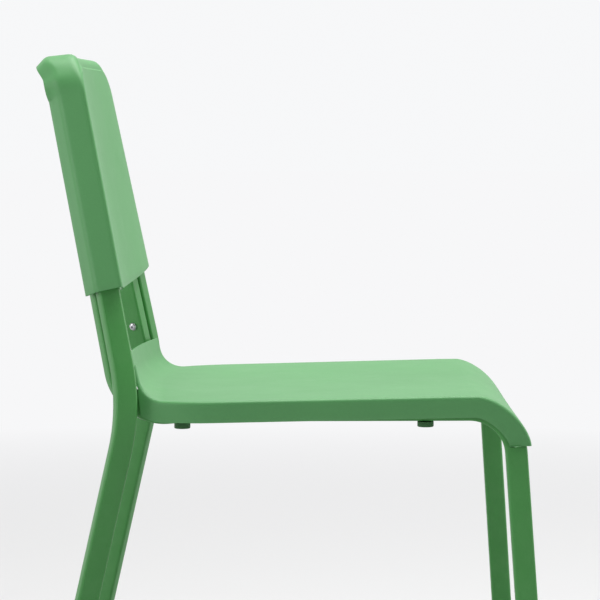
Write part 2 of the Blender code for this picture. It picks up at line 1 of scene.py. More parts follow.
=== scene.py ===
"""Stacking chair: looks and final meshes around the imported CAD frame.

Frame: metres, +Z up, the seat's front faces -Y, origin on the floor.
Helper coordinates: u points to the front (u = Y0 - Y).
"""

import math

import bmesh
import bpy
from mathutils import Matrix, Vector


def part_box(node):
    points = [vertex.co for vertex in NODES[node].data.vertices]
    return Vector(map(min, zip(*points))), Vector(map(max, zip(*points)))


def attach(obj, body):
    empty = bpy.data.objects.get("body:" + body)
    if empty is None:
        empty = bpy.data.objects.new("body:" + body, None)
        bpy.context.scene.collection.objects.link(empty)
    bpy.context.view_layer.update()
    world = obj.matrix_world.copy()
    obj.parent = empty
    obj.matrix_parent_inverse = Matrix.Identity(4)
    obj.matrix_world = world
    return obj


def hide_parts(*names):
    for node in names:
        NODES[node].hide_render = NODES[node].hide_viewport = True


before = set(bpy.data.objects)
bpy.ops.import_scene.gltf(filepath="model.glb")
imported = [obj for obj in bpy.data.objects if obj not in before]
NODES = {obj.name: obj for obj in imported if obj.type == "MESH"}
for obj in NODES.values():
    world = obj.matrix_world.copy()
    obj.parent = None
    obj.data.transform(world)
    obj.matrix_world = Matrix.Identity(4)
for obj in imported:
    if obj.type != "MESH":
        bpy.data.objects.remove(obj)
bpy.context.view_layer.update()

# ---------------------------------------------------------------- driving dimensions (as in the CAD)
TUBE_A = 0.0150          # tube section, short side
TUBE_B = 0.0225          # tube section, long side
TUBE_R = 0.0030          # outside corner radius of the section
TUBE_WALL = 0.0015
GAP = 0.0004             # gap between neighbouring pieces

RAKE = 0.2269            # rear leg: how far it runs back per unit of height
RECLINE = 0.199           # uprights: how far they run back per unit of height
LEAN = 0.15              # uprights: how far they close in per unit of height
TOE_LEG = math.radians(19.0)     # section turned in plan, rear leg
TOE_UP = math.radians(27.0)      # section turned in plan, uprights
UPRIGHT_TOP = 0.690

SEAT_T = 0.0026          # seat shell wall
SEAT_HALF_F = 0.2005     # half width of the seat at the front
SEAT_HALF_R = 0.1950     # half width of the seat at the back
SEAT_BAND = 0.0220       # depth of the side skirt
SEAT_REAR = (-0.105, 0.4435)
SEAT_SLOPE = 0.0245
SEAT_FRONT = (0.1958, 0.3998)    # centre of the waterfall curve
SEAT_FRONT_AB = (0.0545, 0.0508)  # its half axes
SEAT_RIM_R = 0.027             # fillet between the flat seat and the rear rise
SEAT_RISE_U = -0.1446          # where the flat and the rise would meet
SEAT_RISE = 0.26               # rearward lean of the rise per unit of height
SEAT_RIM_Z = 0.478
SEAT_DISH = 0.003
RIM_BOW = 0.0155

BACK_T = 0.0025          # backrest wall
BACK_Z0 = 0.561          # bottom corner height
BACK_Z1 = 0.7990         # top edge height
BACK_W0 = 0.189          # half width at the bottom corner
BACK_U0 = -0.1646        # front edge at the bottom corner
BACK_SLOPE = 0.199
BACK_CORNER = 0.046      # top corner radius seen from the front
BACK_BOW = 0.015
BACK_SAG = 0.012         # bottom edge lower in the middle

FOOT_H = 0.0040
Y0 = 0.0021              # puts the origin in the middle of the footprint


def to_world(p, side=1):
    return Vector((p[0] * side, Y0 - p[1], p[2]))


def make(name, verts, faces, mat, smooth=True, coll=None):
    me = bpy.data.meshes.new(name)
    me.from_pydata([tuple(v) for v in verts], [], faces)
    bm = bmesh.new()
    bm.from_mesh(me)
    bmesh.ops.recalc_face_normals(bm, faces=bm.faces)
    bm.to_mesh(me)
    bm.free()
    ob = bpy.data.objects.new(name, me)
    bpy.context.scene.collection.objects.link(ob)
    if mat is not None:
        me.materials.append(mat)
    if smooth:
        me.shade_smooth()
        me.set_sharp_from_angle(angle=math.radians(40))
    return ob


def flip(ob):
    bm = bmesh.new()
    bm.from_mesh(ob.data)
    bmesh.ops.reverse_faces(bm, faces=bm.faces)
    bm.to_mesh(ob.data)
    bm.free()


def solidify(ob, t):
    """Wall thickness inwards along averaged normals, with rim faces; one closed mesh."""
    bm = bmesh.new()
    bm.from_mesh(ob.data)
    bmesh.ops.remove_doubles(bm, verts=bm.verts, dist=2e-5)
    bm.normal_update()
    verts = list(bm.verts)
    faces = [list(f.verts) for f in bm.faces]
    rims = []
    for e in bm.edges:
        if len(e.link_loops) == 1:
            l = e.link_loops[0]
            rims.append((l.vert, l.link_loop_next.vert))
    inner = {}
    for v in verts:
        area = sum(f.calc_area() for f in v.link_faces)
        d = sum(v.normal.dot(f.normal) * f.calc_area() for f in v.link_faces) / max(area, 1e-12)
        inner[v] = v.co - v.normal * (t / min(1.0, max(0.80, d)))
    inner = {v: bm.verts.new(p) for v, p in inner.items()}
    for f in faces:
        bm.faces.new([inner[v] for v in reversed(f)])
    for a, b in rims:
        bm.faces.new((b, a, inner[a], inner[b]))
    bm.to_mesh(ob.data)
    bm.free()
    ob.data.update()


# ---------------------------------------------------------------- tube geometry
def rrect(a, b, r, k):
    pts = []
    for cx, cy, a0 in ((a / 2 - r, b / 2 - r, 0), (-a / 2 + r, b / 2 - r, 90),
                       (-a / 2 + r, -b / 2 + r, 180), (a / 2 - r, -b / 2 + r, 270)):
        for i in range(k + 1):
            t = math.radians(a0 + 90.0 * i / k)
            pts.append((cx + r * math.cos(t), cy + r * math.sin(t)))
    return pts


def fillet_path(way, rad, toe, step_deg):
    """way: (x, u, z) corner points; rad: bend radius at each inner corner; toe: plan
    angle of the section on each straight. Returns (point, tangent, toe) stations."""
    P = [Vector(w) for w in way]
    out = []
    D = [(P[i + 1] - P[i]).normalized() for i in range(len(P) - 1)]
    out.append((P[0], D[0], toe[0]))
    for i in range(1, len(P) - 1):
        d0, d1 = D[i - 1], D[i]
        phi = d0.angle(d1)
        t = rad[i - 1] * math.tan(phi / 2)
        n = max(2, int(round(math.degrees(phi) / step_deg)))
        inward = (d1 - d0 * d0.dot(d1)).normalized()
        start = P[i] - d0 * t
        centre = start + inward * rad[i - 1]
        for k in range(n + 1):
            a = phi * k / n
            p = centre - inward * rad[i - 1] * math.cos(a) + d0 * rad[i - 1] * math.sin(a)
            tan = d0 * math.cos(a) + inward * math.sin(a)
            s = a / phi
            s = s * s * (3 - 2 * s)
            out.append((p, tan, toe[i - 1] * (1 - s) + toe[i] * s))
    out.append((P[-1], D[-1], toe[-1]))
    return out


def ring(st, sec, z_plane=None):
    p, tan, toe = st
    s = Vector((math.cos(toe), math.sin(toe), 0.0))
    s = (s - tan * s.dot(tan)).normalized()
    ell = tan.cross(s)
    pts = []
    for a, b in sec:
        q = p + s * a + ell * b
        if z_plane is not None:
            q = q + tan * ((z_plane - q.z) / tan.z)
        pts.append(q)
    return pts


def loft(name, rings, mat, side, cap=False):
    n = len(rings[0])
    verts = [to_world(q, side) for r in rings for q in r]
    faces = []
    for i in range(len(rings) - 1):
        for j in range(n):
            k = (j + 1) % n
            faces.append((i * n + j, i * n + k, (i + 1) * n + k, (i + 1) * n + j))
    if cap:
        faces.append(tuple(range(n)))
        faces.append(tuple((len(rings) - 1) * n + j for j in range(n)))
    return make(name, verts, faces, mat)


def rear_path(step):
    x_leg = 0.1875 + TUBE_B / 2 * math.sin(TOE_LEG) - TUBE_A / 2 * math.cos(TOE_LEG)
    x_up = 0.1875 + TUBE_B / 2 * math.sin(TOE_UP) - TUBE_A / 2 * math.cos(TOE_UP)
    knee_z, knee_u = 0.437, -0.1582
    way = [(x_leg, knee_u - RAKE * (knee_z - FOOT_H), FOOT_H),
           (x_up, knee_u, knee_z),
           (x_up - LEAN * (UPRIGHT_TOP - knee_z), knee_u - RECLINE * (UPRIGHT_TOP - knee_z), UPRIGHT_TOP)]
    return fillet_path(way, [0.20], [TOE_LEG, TOE_UP], step)


def front_path(step):
    x_up = 0.1875 + TUBE_B / 2 * math.sin(TOE_UP) - TUBE_A / 2 * math.cos(TOE_UP)
    off = (TUBE_A + GAP + 0.0024) / 0.9755
    dx, du = -off * math.cos(TOE_UP), -off * math.sin(TOE_UP)
    z3, zt = 0.4268, UPRIGHT_TOP - 0.012
    u3 = -0.1582 - RECLINE * (z3 - 0.437) + du
    x3 = x_up - LEAN * (z3 - 0.437) + dx
    top = (x_up - LEAN * (zt - 0.437) + dx, -0.1582 - RECLINE * (zt - 0.437) + du, zt)
    a = math.radians(25.0)
    reach = 0.080
    w2 = (x3 - reach * math.sin(a), u3 + reach * math.cos(a), z3 + 0.0019)
    w1 = (0.1867, 0.2324, 0.4359)
    foot = (0.2145, 0.2324 + 0.0695 * (0.4365 - FOOT_H), FOOT_H)
    rail = -math.atan2(w1[0] - w2[0], w1[1] - w2[1])
    return fillet_path([foot, w1, w2, (x3, u3, z3), top], [0.047, 0.050, 0.0500],
                       [0.0, rail, a, TOE_UP], step)


def tube(name, path, side, mat, k=2):
    sec = rrect(TUBE_A, TUBE_B, TUBE_R, k)
    rings = [ring(st, sec, FOOT_H if i == 0 else None) for i, st in enumerate(path)]
    ob = loft(name, rings, mat, side)
    # open surface: point the faces outwards before the wall goes inwards
    c = sum((v.co for v in ob.data.vertices[:len(sec)]), Vector()) / len(sec)
    edge = (ob.data.vertices[0].co + ob.data.vertices[1].co) / 2
    if ob.data.polygons[0].normal.dot(edge - c) < 0:
        flip(ob)
    solidify(ob, TUBE_WALL)
    return ob


def end_plug(name, st, side, mat, foot):
    """A plug in a tube end: a collar outside, a stepped spigot inside the tube."""
    p, tan, toe = st
    inner = rrect(TUBE_A - 2 * TUBE_WALL - 0.0008, TUBE_B - 2 * TUBE_WALL - 0.0008, 0.0014, 2)
    rings = []
    if foot:
        collar = rrect(TUBE_A + 0.0010, TUBE_B + 0.0010, TUBE_R, 2)
        sole = rrect(TUBE_A - 0.0010, TUBE_B - 0.0010, TUBE_R, 2)
        zc = FOOT_H - GAP
        rings = [ring(st, sole, 0.0), ring(st, collar, 0.0010), ring(st, collar, zc),
                 ring(st, inner, zc), ring(st, inner, FOOT_H + 0.016)]
    else:
        collar = rrect(TUBE_A, TUBE_B, TUBE_R, 2)
        crown = rrect(TUBE_A - 0.0020, TUBE_B - 0.0020, TUBE_R - 0.001, 2)
        at = lambda h: (p + tan * h, tan, toe)
        rings = [ring(at(0.0030), crown), ring(at(0.0020), collar), ring(at(GAP), collar),
                 ring(at(GAP), inner), ring(at(-0.016), inner)]
    return loft(name, rings, mat, side, cap=True)


# ---------------------------------------------------------------- seat shell
def seat_profile(n_rim, n_flat, n_front):
    """Side profile of the top surface, rear rim to front lip: (u, z) points."""
    pts = []
    lean = math.atan(SEAT_RISE)
    z_at = lambda u: SEAT_REAR[1] + SEAT_SLOPE * (u - SEAT_REAR[0])
    cu = SEAT_RISE_U + 0.0209
    cz = z_at(cu) + SEAT_RIM_R
    a0 = math.pi + lean
    a1 = 1.5 * math.pi + math.atan(SEAT_SLOPE)
    su, sz = cu + SEAT_RIM_R * math.cos(a0), cz + SEAT_RIM_R * math.sin(a0)
    n_up = max(1, n_rim // 4)
    for i in range(n_up):
        z = SEAT_RIM_Z + (sz - SEAT_RIM_Z) * i / n_up
        pts.append((su - SEAT_RISE * (z - sz), z))
    for i in range(n_rim + 1):
        a = a0 + (a1 - a0) * i / n_rim
        pts.append((cu + SEAT_RIM_R * math.cos(a), cz + SEAT_RIM_R * math.sin(a)))
    u0 = pts[-1][0]
    u1 = SEAT_FRONT[0] - 0.022
    for i in range(1, n_flat + 1):
        u = u0 + (u1 - u0) * i / n_flat
        pts.append((u, z_at(u)))
    e = 1.60
    for i in range(0, n_front + 1):
        t = (math.pi / 2) * i / n_front
        s, c = math.sin(t) ** (2 / e), max(0.0, math.cos(t)) ** (2 / e)
        pts.append((SEAT_FRONT[0] + SEAT_FRONT_AB[0] * s, SEAT_FRONT[1] + SEAT_FRONT_AB[1] * c))
    return pts


def skirt_limit(x, z):
    """Rear-most u the skirt may reach beside the rear leg tube at (x, z)."""
    leg = -0.1582 - RAKE * (0.437 - z)
    up = -0.1582 - RECLINE * (z - 0.437)
    cu = 0.5 * (leg + up) - 0.5 * math.hypot(leg - up, 0.0090)
    cx = 0.1859 - LEAN * max(0.0, z - 0.437)
    extra = 0.0016 * min(1.0, max(0.0, (0.447 - z) / 0.03))
    face = cu + 0.0066 + extra + math.tan(TOE_UP) * max(0.0, x - cx + 0.0118)
    return min(cu + 0.0134, face) + 0.0062


def seat_shell(name, mat, n_rim=6, n_flat=5, n_front=8, n_x=7, k=2, n_skirt=1, edge=0.0035):
    prof = seat_profile(n_rim, n_flat, n_front)
    m = len(prof)
    arc = [0.0]
    for i in range(1, m):
        arc.append(arc[-1] + math.dist(prof[i], prof[i - 1]))
    normals = []
    for i in range(m):
        a, b = prof[max(0, i - 1)], prof[min(m - 1, i + 1)]
        ln = math.dist(a, b)
        normals.append((-(b[1] - a[1]) / ln, (b[0] - a[0]) / ln))
    normals[-1] = (1.0, 0.0)

    def skirt_dir(i):
        # the skirt follows the profile's direction averaged along the bend, so it does not fold
        if prof[i][0] < 0.05:
            return normals[i]
        sg = min(0.011, (arc[-1] - arc[i]) / 2 + 1e-5)
        su = sz = 0.0
        for j in range(m):
            g = math.exp(-0.5 * ((arc[i] - arc[j]) / sg) ** 2) * (arc[min(m - 1, j + 1)] - arc[max(0, j - 1)])
            su += g * normals[j][0]
            sz += g * normals[j][1]
        ln = math.hypot(su, sz)
        return su / ln, sz / ln

    rows = []
    for i, (u, z) in enumerate(prof):
        a, b = prof[max(0, i - 1)], prof[min(m - 1, i + 1)]
        tu, tz = b[0] - a[0], b[1] - a[1]
        ln = math.hypot(tu, tz)
        tu, tz = tu / ln, tz / ln
        if i == m - 1:
            tu, tz = 0.0, -1.0
        nu, nz = -tz, tu                       # outward normal of the profile
        w = SEAT_HALF_R + (SEAT_HALF_F - SEAT_HALF_R) * min(1.0, max(0.0, (u + 0.105) / 0.30))
        g = 0.0
        if u < -0.075:
            g = min(1.0, (-0.075 - u) / 0.0775)
            w -= 0.0285 * g ** 2.0
        bow = RIM_BOW * (g ** 1.5)
        dish = SEAT_DISH * min(1.0, max(0.0, (arc[-1] - arc[i]) / 0.12)) * (1 - g)
        flat_half = w - edge
        xs = [flat_half * math.sin(0.5 * math.pi * j / n_x) for j in range(n_x + 1)]
        half = []
        for x in xs:
            q = 1 - (x / flat_half) ** 2
            half.append((x, u - bow * q - nu * dish * q * q, z - nz * dish * q * q))
        for j in range(1, k + 1):              # rounded shoulder
            t = (math.pi / 2) * j / k
            h = edge * (1 - math.cos(t))
            half.append((flat_half + edge * math.sin(t), u - nu * h, z - nz * h))
        band = SEAT_BAND
        if nu > 0.02 and u < -0.08:            # the skirt stops short of the rear leg tube
            for _ in range(6):
                band = min(SEAT_BAND, (u - skirt_limit(w, z - nz * band)) / nu)
                band = max(edge + 0.0008, band)
        for j in range(1, n_skirt + 1):        # skirt
            h = edge + (band - edge) * j / n_skirt
            fu, fz = skirt_dir(i)
            mixed = min(1.0, (h - edge) / 0.010)
            du, dz = nu + (fu - nu) * mixed, nz + (fz - nz) * mixed
            ln = math.hypot(du, dz)
            half.append((w, u - du / ln * h, z - dz / ln * h))
        fixed = half
        row = [(-x, uu, zz) for x, uu, zz in reversed(fixed[1:])] + fixed
        rows.append(row)
    n = len(rows[0])
    verts = [to_world(p) for r in rows for p in r]
    faces = []
    for i in range(m - 1):
        for j in range(n - 1):
            faces.append((i * n + j, i * n + j + 1, (i + 1) * n + j + 1, (i + 1) * n + j))
    ob = make(name, verts, faces, mat)
    mid = ob.data.polygons[(m // 2) * (n - 1) + (n - 1) // 2]
    if mid.normal.z < 0:
        flip(ob)
    solidify(ob, SEAT_T)
    return ob


# ---------------------------------------------------------------- backrest shell
def back_width(z):
    return BACK_W0 - LEAN * (z - BACK_Z0)


def back_u(x, z):
    """Front surface of the back panel: reclined, and hollowed towards the middle."""
    f = min(1.0, max(0.0, (z - BACK_Z0) / (BACK_Z1 - BACK_Z0)))
    bow = BACK_BOW * (1 - 0.35 * f)
    q = max(0.0, 1 - (x / back_width(z)) ** 2) ** 1.6
    return BACK_U0 - BACK_SLOPE * (z - BACK_Z0) - bow * q


def back_outline(n_side, n_corner, n_top):
    """Right half of the front-view outline, bottom corner to top middle: (x, z, nx, nz)."""
    w1 = back_width(BACK_Z1)
    d0 = Vector((-LEAN, 1.0)).normalized()
    phi = d0.angle(Vector((-1.0, 0.0)))
    t = BACK_CORNER * math.tan(phi / 2)
    sx, sz = w1 - d0.x * t, BACK_Z1 - d0.y * t
    n0 = Vector((d0.y, -d0.x))
    cx, cz = sx - n0.x * BACK_CORNER, sz - n0.y * BACK_CORNER
    pts = []
    for i in range(n_side):
        s = i / n_side
        pts.append((BACK_W0 + (sx - BACK_W0) * s, BACK_Z0 + (sz - BACK_Z0) * s, n0.x, n0.y))
    a0 = math.atan2(n0.y, n0.x)
    for i in range(n_corner + 1):
        a = a0 + (math.pi / 2 - a0) * i / n_corner
        pts.append((cx + BACK_CORNER * math.cos(a), cz + BACK_CORNER * math.sin(a), math.cos(a), math.sin(a)))
    for i in range(1, n_top + 1):
        pts.append((cx * (1 - i / n_top), BACK_Z1, 0.0, 1.0))
    return pts


def backrest_shell(name, mat, n_side=5, n_corner=6, n_top=3, k=2, n_band=1, n_fold=2, n_flange=1):
    half = back_outline(n_side, n_corner, n_top)
    right = half
    left = [(-x, z, -nx, nz) for x, z, nx, nz in reversed(half[:-1])]
    path = right + left                        # right bottom, over the top, to left bottom
    total = len(path)

    def f_top(nz):
        s = min(1.0, max(0.0, nz))
        return s * s * (3 - 2 * s)

    cols = []
    for x, z, nx, nz in path:
        f = f_top((nz - 0.15) / 0.85)
        r = 0.0028 + 0.0087 * f
        g = f_top(nz / 0.55)                   # the inward flange shortens round the corner
        f = f_top((nz - 0.66) / 0.28)          # the lip starts high on the corner
        down = 0.20 - 0.09 * f
        D = Vector((0.0, -1.0, -down)).normalized()
        N = Vector((nx, 0.0, nz))
        O = Vector((x, back_u(x, z), z))
        depth = 0.0285 + 0.0068 * f
        depth -= (1 - f) * 0.9 * max(0.0, back_u(back_width(z), z) - back_u(x, z))
        inw = 0.0060 * (1 - g)
        fl_b = 0.0125 * (1 - f) + 0.0098 * f
        fl_i = 0.0260 * (1 - g) + 0.0098 * g
        c = []
        for i in range(k + 1):
            t = (math.pi / 2) * i / k
            c.append(O - N * r + D * r + N * (r * math.sin(t)) - D * (r * math.cos(t)))
        B0 = O + D * r
        B1 = O + D * depth - N * inw
        B2 = B1 + D * fl_b - N * fl_i
        e0 = (B0 - B1).normalized()
        e1 = (B2 - B1).normalized()
        fr = 0.0045
        for i in range(1, n_band + 1):
            s = i / n_band
            c.append(B0 + (B1 + e0 * fr - B0) * s)
        for i in range(1, n_fold + 1):
            s = i / n_fold
            c.append((B1 + e0 * fr) * (1 - s) ** 2 + B1 * (2 * s * (1 - s)) + (B1 + e1 * fr) * s * s)
        for i in range(1, n_flange + 1):
            s = i / n_flange
            c.append((B1 + e1 * fr) * (1 - s) + B2 * s)
        cols.append(c)
    nb = len(cols[0])
    # panel patch between the inset outline and the bottom edge
    h = n_side + n_corner // 2
    R = [cols[i][0] for i in range(h + 1)]
    L = [cols[total - 1 - i][0] for i in range(h + 1)]
    T = [cols[h + i][0] for i in range(total - 2 * h)]      # right to left
    nt = len(T) - 1
    B = []
    for j in range(nt + 1):
        s = j / nt
        x = R[0].x + (L[0].x - R[0].x) * s
        z = R[0].z - BACK_SAG * (1 - (x / R[0].x) ** 2)
        B.append(Vector((x, back_u(x, z), z)))
    grid = []
    for i in range(h + 1):
        b = i / h
        row = []
        for j in range(nt + 1):
            a = j / nt
            if j == 0:
                p = R[i]
            elif j == nt:
                p = L[i]
            elif i == h:
                p = T[j]
            else:
                p = (R[i] * (1 - a) + L[i] * a + B[j] * (1 - b) + T[j] * b
                     - (R[0] * ((1 - a) * (1 - b)) + L[0] * (a * (1 - b)) + R[h] * ((1 - a) * b) + L[h] * (a * b)))
                p = Vector((p.x, back_u(p.x, p.z), p.z))
            row.append(p)
        grid.append(row)
    verts, faces, index = [], [], {}

    def vid(key, p):
        if key not in index:
            index[key] = len(verts)
            verts.append(to_world(p))
        return index[key]

    def outline_key(i):
        if i <= h:
            return ("g", i, 0)
        if i >= total - 1 - h:
            return ("g", total - 1 - i, nt)
        return ("g", h, i - h)

    for i in range(h + 1):
        for j in range(nt + 1):
            vid(("g", i, j), grid[i][j])
    for i in range(h):
        for j in range(nt):
            faces.append((index[("g", i, j)], index[("g", i, j + 1)], index[("g", i + 1, j + 1)], index[("g", i + 1, j)]))
    for i in range(total - 1):
        for j in range(nb - 1):
            q = []
            for ii, jj in ((i, j), (i + 1, j), (i + 1, j + 1), (i, j + 1)):
                q.append(index[outline_key(ii)] if jj == 0 else vid(("b", ii, jj), cols[ii][jj]))
            faces.append(tuple(q))
    ob = make(name, verts, faces, mat)
    mid = ob.data.polygons[(h // 2) * nt + nt // 2]
    if mid.normal.y > 0:
        flip(ob)
    solidify(ob, BACK_T)
    return ob


def upright_centre(z, inner):
    x_up = 0.1875 + TUBE_B / 2 * math.sin(TOE_UP) - TUBE_A / 2 * math.cos(TOE_UP)
    p = Vector((x_up - LEAN * (z - 0.437), -0.1582 - RECLINE * (z - 0.437), z))
    if inner:
        off = (TUBE_A + GAP + 0.0024) / 0.9755
        p = p + Vector((-off * math.cos(TOE_UP), -off * math.sin(TOE_UP), 0.0))
    return p


SCREW_Z = 0.4935
T_up = Vector((-LEAN, -RECLINE, 1.0)).normalized()
S_up = Vector((math.cos(TOE_UP), math.sin(TOE_UP), 0.0))
S_up = (S_up - T_up * S_up.dot(T_up)).normalized()



# ---------------------------------------------------------------- materials
class Nodes:
    """Small helper around a material's node tree."""

    def __init__(self, name):
        self.mat = bpy.data.materials.new(name)
        self.mat.use_nodes = True
        self.t = self.mat.node_tree
        self.bsdf = self.t.nodes["Principled BSDF"]
        self.co = self.t.nodes.new("ShaderNodeTexCoord")

    def link(self, a, b):
        self.t.links.new(a, b)

    def noise(self, scale, detail=2.0, rough=0.5, stretch=None):
        n = self.t.nodes.new("ShaderNodeTexNoise")
        n.inputs["Scale"].default_value = scale
        n.inputs["Detail"].default_value = detail
        n.inputs["Roughness"].default_value = rough
        if stretch is None:
            self.link(self.co.outputs["Object"], n.inputs["Vector"])
        else:
            m = self.t.nodes.new("ShaderNodeMapping")
            m.inputs["Scale"].default_value = stretch
            self.link(self.co.outputs["Object"], m.inputs["Vector"])
            self.link(m.outputs["Vector"], n.inputs["Vector"])
        return n.outputs["Fac"]

    def ramp(self, fac, stops):
        r = self.t.nodes.new("ShaderNodeValToRGB")
        el = r.color_ramp.elements
        while len(el) < len(stops):
            el.new(0.5)
        for e, (p, c) in zip(el, stops):
            e.position = p
            e.color = (c[0], c[1], c[2], 1.0) if not isinstance(c, float) else (c, c, c, 1.0)
        self.link(fac, r.inputs["Fac"])
        return r.outputs["Color"]

    def math(self, op, a, b):
        m = self.t.nodes.new("ShaderNodeMath")
        m.operation = op
        for i, v in enumerate((a, b)):
            if isinstance(v, (int, float)):
                m.inputs[i].default_value = v
            else:
                self.link(v, m.inputs[i])
        return m.outputs[0]

    def mix(self, fac, a, b, mode="MIX"):
        m = self.t.nodes.new("ShaderNodeMix")
        m.data_type = "RGBA"
        m.blend_type = mode
        ins = {"f": m.inputs[0], "a": m.inputs[6], "b": m.inputs[7]}
        for k, v in (("f", fac), ("a", a), ("b", b)):
            if isinstance(v, (int, float)):
                ins[k].default_value = v if k == "f" else (v, v, v, 1.0)
            elif isinstance(v, tuple):
                ins[k].default_value = (v[0], v[1], v[2], 1.0)
            else:
                self.link(v, ins[k])
        return m.outputs[2]

    def bump(self, height, strength, distance, below=None):
        b = self.t.nodes.new("ShaderNodeBump")
        b.inputs["Strength"].default_value = strength
        b.inputs["Distance"].default_value = distance
        self.link(height, b.inputs["Height"])
        if below is not None:
            self.link(below, b.inputs["Normal"])
        return b.outputs["Normal"]

    def pointiness(self):
        g = self.t.nodes.new("ShaderNodeNewGeometry")
        return g.outputs["Pointiness"]


def scaled(c, k):
    return tuple(min(1.0, v * k) for v in c)


def plastic(name, rgb, rough=0.46, grain=1500.0, bump=0.22, wear=0.5, spec=0.5):
    """Moulded polypropylene: fine spark-eroded grain, faint flow clouding, slightly paler polished edges."""
    n = Nodes(name)
    cloud = n.ramp(n.noise(5.5, 3.0, 0.55), [(0.32, scaled(rgb, 0.955)), (0.68, scaled(rgb, 1.045))])
    speck = n.ramp(n.noise(grain * 0.55, 2.0, 0.6), [(0.30, 0.965), (0.70, 1.03)])
    col = n.mix(1.0, cloud, speck, "MULTIPLY")
    edge = n.ramp(n.pointiness(), [(0.515, 0.0), (0.60, 1.0)])
    edge_f = n.math("MULTIPLY", edge, 0.16 * wear)
    scuff = n.ramp(n.noise(38.0, 5.0, 0.62), [(0.56, 0.0), (0.72, 1.0)])
    col = n.mix(edge_f, col, scaled((rgb[0] + 0.16, rgb[1] + 0.16, rgb[2] + 0.16), 1.0))
    col = n.mix(n.math("MULTIPLY", scuff, 0.05 * wear), col, scaled((rgb[0] + 0.1, rgb[1] + 0.1, rgb[2] + 0.1), 1.0))
    n.link(col, n.bsdf.inputs["Base Color"])
    r = n.math("ADD", n.math("MULTIPLY", n.noise(14.0, 4.0, 0.6), 0.10), rough - 0.05)
    r = n.math("SUBTRACT", r, n.math("MULTIPLY", scuff, 0.05 * wear))
    n.link(r, n.bsdf.inputs["Roughness"])
    sink = n.bump(n.noise(26.0, 2.0, 0.4), 0.05, 0.0010)
    g = n.bump(n.noise(grain, 3.0, 0.65), bump, 0.00016, sink)
    n.link(g, n.bsdf.inputs["Normal"])
    n.bsdf.inputs["IOR"].default_value = 1.49
    n.bsdf.inputs["Specular IOR Level"].default_value = spec
    return n.mat


def powder(name, rgb, rough=0.40):
    """Powder coat on steel: orange peel over a fine grain, paler where edges are rubbed."""
    n = Nodes(name)
    cloud = n.ramp(n.noise(7.0, 3.0, 0.5), [(0.32, scaled(rgb, 0.94)), (0.68, scaled(rgb, 1.05))])
    speck = n.ramp(n.noise(1100.0, 2.0, 0.6), [(0.28, 0.94), (0.72, 1.05)])
    col = n.mix(1.0, cloud, speck, "MULTIPLY")
    edge = n.ramp(n.pointiness(), [(0.52, 0.0), (0.62, 1.0)])
    rub = n.ramp(n.noise(45.0, 5.0, 0.6), [(0.42, 0.0), (0.66, 1.0)])
    col = n.mix(n.math("MULTIPLY", n.math("MULTIPLY", edge, rub), 0.22), col,
                scaled((rgb[0] + 0.12, rgb[1] + 0.14, rgb[2] + 0.12), 1.0))
    n.link(col, n.bsdf.inputs["Base Color"])
    r = n.math("ADD", n.math("MULTIPLY", n.noise(22.0, 4.0, 0.6), 0.10), rough - 0.05)
    n.link(r, n.bsdf.inputs["Roughness"])
    peel = n.bump(n.noise(330.0, 2.0, 0.5), 0.20, 0.00025)
    g = n.bump(n.noise(1900.0, 2.0, 0.6), 0.12, 0.00012, peel)
    n.link(g, n.bsdf.inputs["Normal"])
    n.bsdf.inputs["IOR"].default_value = 1.5
    return n.mat


def zinc(name):
    """Zinc-plated steel with fine turning marks and a faint mottled passivation."""
    n = Nodes(name)
    mott = n.ramp(n.noise(420.0, 3.0, 0.6), [(0.3, (0.50, 0.51, 0.54)), (0.7, (0.72, 0.72, 0.74))])
    n.link(mott, n.bsdf.inputs["Base Color"])
    n.bsdf.inputs["Metallic"].default_value = 1.0
    r = n.math("ADD", n.math("MULTIPLY", n.noise(900.0, 2.0, 0.6), 0.16), 0.20)
    n.link(r, n.bsdf.inputs["Roughness"])
    n.link(n.bump(n.noise(2600.0, 1.0, 0.5, (1.0, 0.15, 1.0)), 0.15, 0.00008), n.bsdf.inputs["Normal"])
    return n.mat


GREEN = (0.100, 0.345, 0.112)
M_SEAT = plastic("seat_plastic", GREEN, rough=0.44)
M_BACK = plastic("back_plastic", GREEN, rough=0.46)
M_FRAME = powder("frame_powder_coat", (0.068, 0.315, 0.070))
M_BUFFER = plastic("buffer_plastic", (0.030, 0.145, 0.034), rough=0.55, grain=1100.0, bump=0.3, wear=0.8)
M_PLUG = plastic("plug_plastic", (0.045, 0.205, 0.060), rough=0.52, grain=1100.0, bump=0.3, wear=0.8)
M_ZINC = zinc("zinc_steel")


# ---------------------------------------------------------------- fine meshes
def finish_mesh(ob, mats, bevel=None, segs=2, angle=50.0, cut=None):
    """Applies the modifiers, rounds the open rims and leaves one clean closed mesh."""
    if bevel:
        b = ob.modifiers.new("rim", "BEVEL")
        b.width = bevel
        b.segments = segs
        b.limit_method = "ANGLE"
        b.angle_limit = math.radians(angle)
        b.use_clamp_overlap = True
    for c in (cut or []):
        m = ob.modifiers.new("cut", "BOOLEAN")
        m.operation = "DIFFERENCE"
        m.solver = "EXACT"
        m.object = c
    dg = bpy.context.evaluated_depsgraph_get()
    dg.update()
    me = bpy.data.meshes.new_from_object(ob.evaluated_get(dg))
    ob.modifiers.clear()
    old = ob.data
    ob.data = me
    bpy.data.meshes.remove(old)
    me.materials.clear()
    for m in mats:
        me.materials.append(m)
    for p in me.polygons:
        p.material_index = 0
    me.shade_smooth()
    me.set_sharp_from_angle(angle=math.radians(38))
    for c in (cut or []):
        cm = c.data
        bpy.data.objects.remove(c, do_unlink=True)
        bpy.data.meshes.remove(cm)
    return ob


